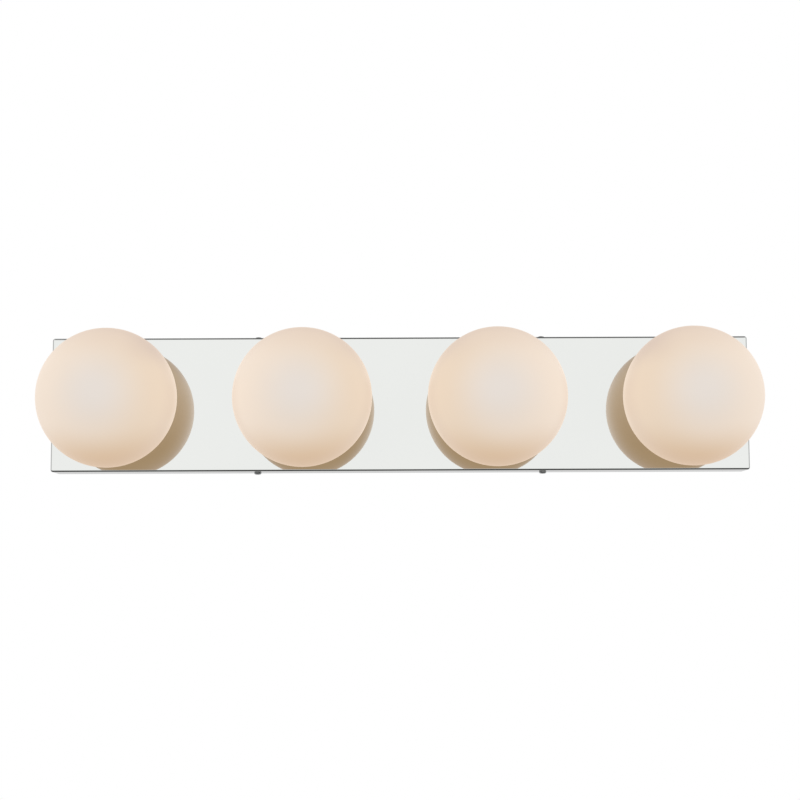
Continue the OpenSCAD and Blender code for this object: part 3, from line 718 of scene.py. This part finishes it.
thread = dict(
    outside=5 * mm, bore=3.6 * mm, pitch=1 * mm, deep=0.28 * mm, chamfer=0.5 * mm, perTurn=7, steps=64,
)
wireNut = dict(
    mouth=7.5 * mm, tip=5.1 * mm, length=25 * mm, skirt=7 * mm, rim=0.4 * mm, dome=1.2 * mm,
    neck=1.1 * mm, neckLong=1 * mm, bore=4.85 * mm, boreDeep=10.5 * mm, boreChamfer=0.5 * mm,
    core=3.35 * mm, coreDeep=20 * mm, ribs=12, ribDeep=0.55 * mm, ribStart=(1.5 * mm, 3.5 * mm),
    ribStop=2 * mm, wing=1.75 * mm, wingThick=0.95 * mm, wingLong=10 * mm, wingFade=2 * mm,
    rimRings=8, skirtRings=12, sideRings=40, steps=180,
)
screw = dict(
    radius=4.1 * mm, high=2.7 * mm, side=1.0 * mm, flat=2.1 * mm, edge=0.15 * mm, recess=1.5 * mm,
    slotHalf=0.5 * mm, slotReach=2.3 * mm, slotEase=0.5 * mm, slotLip=0.1 * mm, slotFoot=0.2 * mm,
    shank=2.05 * mm, shankLong=7.2 * mm, pitch=0.8 * mm, deep=0.25 * mm, point=0.5 * mm,
    shoulderRings=10, topRings=21, perTurn=8, steps=96,
)


# A screw thread: radius = outside - deep |2 share - 1|, where share is the part of a pitch at that height
# and that turn
def threaded(outside, deep, pitch, height, steps):
    turns = np.arange(steps)[:, None] / steps
    return outside - deep * np.abs(2 * ((height / pitch - turns) % 1) - 1)


# Nipple: a thread outside that fades to a chamfer at both ends, radius = outside - chamfer (1 - share), and
# a plain bore
def makeNipples():
    low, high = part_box("nipples")
    length, steps, chamfer = high[1] - low[1], thread["steps"], thread["chamfer"]
    height = np.linspace(0, length, int(length / thread["pitch"] * thread["perTurn"]))
    share = np.clip(np.minimum(height, length - height) / chamfer, 0, 1)
    radius = threaded(thread["outside"], thread["deep"], thread["pitch"], height, steps)
    radius = np.minimum(radius, thread["outside"] - chamfer * (1 - share))
    bore = np.full((steps, 1), thread["bore"])
    r = np.concatenate([bore, bore, radius, bore], axis=1)
    h = np.concatenate([[length, 0], height, [length]])
    one = spun(r, h, steps)
    return gridObject("threadedNipples", [outAt(one, k, -high[1]) for k in lightNumbers])


# Wire nut: a tapered cap. Radius = outline - ribs above the skirt + a wing on each side of the skirt, where a
# rib is ribDeep (1 + cos(ribs t)) / 2 and a wing is exp(-(sideways / wingThick)^4). The outline drops by a neck
# above the skirt, tapers to the tip and ends in a dome, r - sqrt(r^2 - over^2); the inside is stepped
def makeWireNut(name, origin, axis, across):
    n = wireNut
    skirt, long, mouth, rim, dome = n["skirt"], n["length"], n["mouth"], n["rim"], n["dome"]
    turn = np.linspace(0, pi / 2, n["rimRings"])
    height = np.concatenate([
        [0], rim * (1 - np.cos(turn)), np.linspace(rim, skirt, n["skirtRings"])[1:],
        np.linspace(skirt, long - dome, n["sideRings"])[1:], long - dome * (1 - np.sin(turn)), [long],
    ])
    neckTop = skirt + n["neckLong"]
    taper = np.clip((height - neckTop) / (long - dome - neckTop), 0, 1)
    over = np.clip(height - (long - dome), 0, None)
    body = mouth - n["neck"] * eased(height, skirt, neckTop) - (mouth - n["neck"] - n["tip"]) * taper
    body -= dome - np.sqrt(np.clip(dome**2 - over**2, 0, None))
    body[1:len(turn) + 1] -= rim * (1 - np.sin(turn))
    t = np.arange(n["steps"])[:, None] * 2 * pi / n["steps"]
    above = eased(height, *(skirt + v for v in n["ribStart"])) * (1 - eased(height, long - n["ribStop"], long))
    ribs = n["ribDeep"] * (1 + np.cos(n["ribs"] * t)) / 2 * above
    sideways = (mouth + n["wing"] / 2) * np.sin(t)
    beside = 1 - eased(height, n["wingLong"] - n["wingFade"], n["wingLong"])
    beside = beside * eased(height, -rim, 1.5 * rim)
    wings = n["wing"] * np.exp(-((sideways / n["wingThick"]) ** 4)) * beside
    radius = body - ribs + wings
    radius[:, -1] = 0
    inside = [(0, n["coreDeep"]), (n["core"], n["coreDeep"]), (n["core"], n["boreDeep"]),
              (n["bore"], n["boreDeep"]), (n["bore"], n["boreChamfer"]), (n["bore"] + n["boreChamfer"], 0)]
    r, h = np.array(inside).T
    r = np.concatenate([np.broadcast_to(r, (n["steps"], len(r))), radius[:, 1:]], axis=1)
    points = spun(r, np.concatenate([h, height[1:]]), n["steps"])
    return gridObject(name, [placed(points, origin, axis, across)])


# Side screw: a pan head with a straight side, a shoulder (flat + (radius - flat) cos a, side + rise sin a) and
# a flat top, pressed in by a cross of two slots, on a threaded shank that narrows to its point
def makeScrews():
    n = screw
    low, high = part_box("side_screws")
    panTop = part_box("front_pan")[1][2]
    turn = np.linspace(0, pi / 2, n["shoulderRings"])
    shoulder = np.stack([n["flat"] + (n["radius"] - n["flat"]) * np.cos(turn),
                         n["side"] + (n["high"] - n["side"]) * np.sin(turn)], axis=-1)
    top = np.linspace((n["flat"], n["high"]), (0, n["high"]), n["topRings"] + 1)[1:]
    side = [(n["radius"] - n["edge"], 0), (n["radius"], n["edge"])]
    r, h = np.concatenate([side, shoulder, top]).T
    long, steps, point = n["shankLong"], n["steps"], n["point"]
    shankH = np.linspace(-long, 0, int(long / n["pitch"] * n["perTurn"]))
    shank = threaded(n["shank"], n["deep"], n["pitch"], shankH, steps)
    shank = np.minimum(shank, n["shank"] - point * (1 - np.clip((shankH + long) / point, 0, 1)))
    head = np.broadcast_to(r, (steps, len(r)))
    radius = np.concatenate([np.zeros((steps, 1)), shank, head], axis=1)
    one = spun(radius, np.concatenate([[-long], shankH, h]), steps)
    x, y = np.abs(one[..., 0]), np.abs(one[..., 1])
    reach = 1 - eased(np.maximum(x, y), n["slotReach"] - n["slotEase"], n["slotReach"])
    slot = 1 - eased(np.minimum(x, y), n["slotHalf"] - n["slotFoot"], n["slotHalf"] + n["slotLip"])
    one[..., 2] -= n["recess"] * reach * slot * (one[..., 2] > n["side"])
    y = (low[1] + high[1]) / 2
    grids = [placed(one, (x, y, side * panTop), (0, 0, side), (1, 0, 0))
             for x in (low[0] + n["radius"], high[0] - n["radius"]) for side in (1, -1)]
    return gridObject("panHeadScrews", grids)


# Wire nut: axis from its mouth to its tip, and the side its wings point to
nutTurns = dict(
    black_wire_nut=((0, 0, 1), (1, 0, 0)), white_wire_nut=((0, 0, -1), (1, 0, 0)),
    ground_wire_nut=((1, 0, 0), (0, 0, -1)),
)
# Name, CAD node, rounding and slot
roundedOnce = (
    ("brassLocknuts", "locknuts", 0.25 * mm, "yellow_brass"),
    ("toothedWashers", "lock_washers", 0.12 * mm, "plain_steel"),
    ("groundScrew", "ground_screw", 0.2 * mm, "green_zinc"),
    ("ringTerminal", "ground_terminal", 0.12 * mm, "plain_steel"),
    ("foldedBracket", "wall_bracket", 0.3 * mm, "zinc_steel"),
)

standFor(makeNipples(), "nipples", "fixture", finishes["nipples"])
standFor(makeScrews(), "side_screws", "fixture", finishes["side_screws"])
for node, (axis, across) in nutTurns.items():
    low, high = (np.array(p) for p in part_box(node))
    origin = (low + high) / 2 - np.array(axis) * (high - low) / 2
    cap = makeWireNut(node.replace("_wire_nut", "WireNut"), origin, axis, across)
    slot = "green_plastic" if node.startswith("ground") else "orange_plastic"
    standFor(cap, node, "fixture", finishes[node])
for name, node, width, slot in roundedOnce:
    standFor(roundedCopy(name, node, width), node, "fixture", finishes[node])
print("hardware made")


pan = dict(
    sheet=1.2 * mm, bend=2.0 * mm, corner=2.8 * mm, leastCorner=0.05 * mm, cornerSteps=10, bendSteps=8,
    hole=5.2 * mm, holeSteps=48,
)


# Outline of a rounded rectangle, inset from the pan's own, as a ring of (x, z) points: a corner is
# (middle + r cos a, middle + r sin a)
def panOutline(halfW, halfH, inset):
    r = max(pan["corner"] - inset, pan["leastCorner"])
    turn = np.linspace(0, pi / 2, pan["cornerSteps"])
    ring = []
    for quarter, (i, j) in enumerate(((1, 1), (-1, 1), (-1, -1), (1, -1))):
        a = turn + quarter * pi / 2
        ring.append(np.stack([i * (halfW - inset - r) + r * np.cos(a),
                              j * (halfH - inset - r) + r * np.sin(a)], axis=-1))
    return np.concatenate(ring)


# An (x, z) outline stood at a depth y
def ringAt(outline, y):
    return np.stack([outline[:, 0], np.full(len(outline), y), outline[:, 1]], axis=-1)


# Pan shell: rings of the outline carried up the outer flange, round the bend (r (1 - cos a), r sin a) to the
# face, then down the inside one sheet further in. Both faces are flat sheets with the four nipple holes in them
def makePan():
    low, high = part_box("front_pan")
    halfW, halfH, depth = high[0], high[2], -low[1]
    bend, sheet, steps = pan["bend"], pan["sheet"], pan["holeSteps"]
    a = np.linspace(0, pi / 2, pan["bendSteps"])
    lean, rise = 1 - np.cos(a), np.sin(a) - 1
    outer = [(0, 0), *zip(bend * lean, depth + bend * rise)]
    inner = [*zip(sheet + (bend - sheet) * lean, depth - sheet + (bend - sheet) * rise)][::-1] + [(sheet, 0)]
    rings = np.stack([ringAt(panOutline(halfW, halfH, inset), -w) for inset, w in outer + inner])
    rows, nv = rings.shape[:2]
    quads = gridFaces(rows, nv, True, True).reshape(rows, nv, 4)
    quads = np.delete(quads, len(outer) - 1, axis=0).reshape(-1, 4)  # the gap is the thickness of the face
    t = np.arange(steps) * 2 * pi / steps
    circle = pan["hole"] * np.stack([np.cos(t), np.sin(t)], axis=-1)
    points, faces, smooth = [rings.reshape(-1, 3)], quads.tolist(), [True] * len(quads)
    count, holeStarts = rows * nv, []
    for row, y in ((len(outer) - 1, -depth), (len(outer), sheet - depth)):
        loops = [rings[row]] + [ringAt(circle + (lightX[k], 0), y) for k in lightNumbers]
        triangles = tessellate_polygon([[Vector((p[0], p[2], 0)) for p in loop] for loop in loops])
        faces += (np.array(triangles) + count).tolist()
        smooth += [False] * len(triangles)
        points += loops
        holeStarts.append(count + nv)
        count += nv + steps * len(lightNumbers)
    wall = gridFaces(2, steps, False, True)
    front, back = holeStarts
    for hole in range(len(lightNumbers)):
        faces += (np.where(wall < steps, front + wall, back + wall - steps) + hole * steps).tolist()
        smooth += [True] * len(wall)
    return mergeDoubles(meshObject("panShell", np.concatenate(points), faces, smooth), outward=True)


standFor(makePan(), "front_pan", "fixture", finishes["front_pan"])
print("pan made")


studio = dict(
    floorZ=-2.0, floorY=-0.1, floorRadii=(0.0001, 0.6, 1.5, 2.5, 3.4), floorSteps=96, floorWhite=0.62,
    distance=1.855, below=0.192, pitch=6.04, roll=0.215, lens=74.1,  # camera: metres, degrees and mm
)

# Round pale floor that fades into the white surroundings: point = (r cos t, floorY + r sin t, floorZ)
disc = spun(np.array(studio["floorRadii"]), np.full(len(studio["floorRadii"]), studio["floorZ"]),
            studio["floorSteps"]) + (0, studio["floorY"], 0)
discFaces = gridFaces(*disc.shape[:2], True, False)[:, ::-1]
floor = meshObject("studioFloor", disc.reshape(-1, 3), discFaces.tolist(), False)
g = newGraph("pale floor")
x, y, z = g.parts(g.coords())
away = (x * x + y * y).root()
mottle = g.mix(g.noise(2, 3), (0.80, 0.80, 0.79), (0.84, 0.84, 0.83))
paint = g.node("ShaderNodeBsdfPrincipled", {}, {"Base Color": mottle, "Roughness": 0.7})
white = g.node("ShaderNodeEmission", {}, {"Color": (1, 1, 1, 1), "Strength": 1.0})
fade = studio["floorWhite"] + (1 - studio["floorWhite"]) * away.eased(1.2, 3.2)
edgeMix = g.node("ShaderNodeMixShader", {}, (fade, paint, white))
g.node("ShaderNodeOutputMaterial", {}, {"Surface": edgeMix})
dress(floor, g.owner)
floor.visible_glossy = False
floor.visible_diffuse = False

# Surroundings: pure white where the camera looks past the bar. What the mirror shows is a bright white
# front wall, with a dim ceiling, softer sides and a dark floor in front; what lights the bar is the same
# room turned down. Levels come first, then the ranges of direction over which each one fades in
room = dict(
    front=1.38, ceiling=0.1, ceilingSide=0.45, side=0.55, back=0.5, low=0.4, dark=0.02, fill=0.58,
    sideX=(0.5, 0.85), ceilingZ=(0.25, 0.55), backY=(0.1, 0.6), aboveFloorZ=(-0.25, -0.08),
    pastFloorY=(0.25, 0.5), aboveDarkZ=(-0.6, -0.3),
)
world = bpy.data.worlds.new("studio")
bpy.context.scene.world = world
g = Graph(world)
x, y, z = g.parts(g.node("ShaderNodeTexCoord", output="Generated"))
sideways = (x * x).root()
side = 1 - sideways.eased(*room["sideX"]) * (1 - room["side"])
overhead = z.eased(*room["ceilingZ"])
ceiling = room["ceiling"] + sideways * (room["ceilingSide"] - room["ceiling"])
behind = 1 - y.eased(*room["backY"]) * (1 - room["back"])
lit = side * behind * (1 - overhead) + ceiling * overhead
downward = (1 - z.eased(*room["aboveFloorZ"])) * (1 - y.eased(*room["pastFloorY"]))
dark = 1 - z.eased(*room["aboveDarkZ"])
floorward = room["low"] + (room["dark"] - room["low"]) * dark
level = (lit * (1 - downward) + downward * floorward) * room["front"]
rays = g.node("ShaderNodeLightPath").socket.node.outputs
seen, glossy = Wire(g, rays["Is Camera Ray"]), Wire(g, rays["Is Glossy Ray"])
shown = level * (room["fill"] + (1 - room["fill"]) * glossy)
strength = seen + shown * (1 - seen)
shine = g.node("ShaderNodeBackground", {}, {"Color": (1, 1, 1, 1), "Strength": strength})
g.node("ShaderNodeOutputWorld", {}, {"Surface": shine})


def softLight(name, place, aim, size, power):
    data = bpy.data.lights.new(name, "AREA")
    data.shape = "RECTANGLE"
    data.size, data.size_y = size
    data.energy = power
    lamp = bpy.data.objects.new(name, data)
    lamp.location = place
    lamp.rotation_euler = (Vector(aim) - Vector(place)).to_track_quat("-Z", "Y").to_euler()
    bpy.context.scene.collection.objects.link(lamp)


softLight("keyLight", (-1.6, -1.9, 1.9), (0, -0.1, 0), (1.4, 1.0), 6)
softLight("fillLight", (1.8, -1.7, 1.4), (0, -0.1, 0), (1.4, 1.0), 4)

depth = -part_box("front_pan")[0][1]
data = bpy.data.cameras.new("camera")
data.sensor_width = 36
data.lens = studio["lens"]
camera = bpy.data.objects.new("camera", data)
camera.location = (0, -(studio["distance"] + depth), -studio["below"])
pitch = Matrix.Rotation(radians(90 + studio["pitch"]), 4, "X")
roll = Matrix.Rotation(radians(-studio["roll"]), 4, "Z")
camera.rotation_euler = (pitch @ roll).to_euler()
bpy.context.scene.collection.objects.link(camera)
bpy.context.scene.camera = camera
bpy.context.scene.view_settings.view_transform = "Standard"
print("studio made")
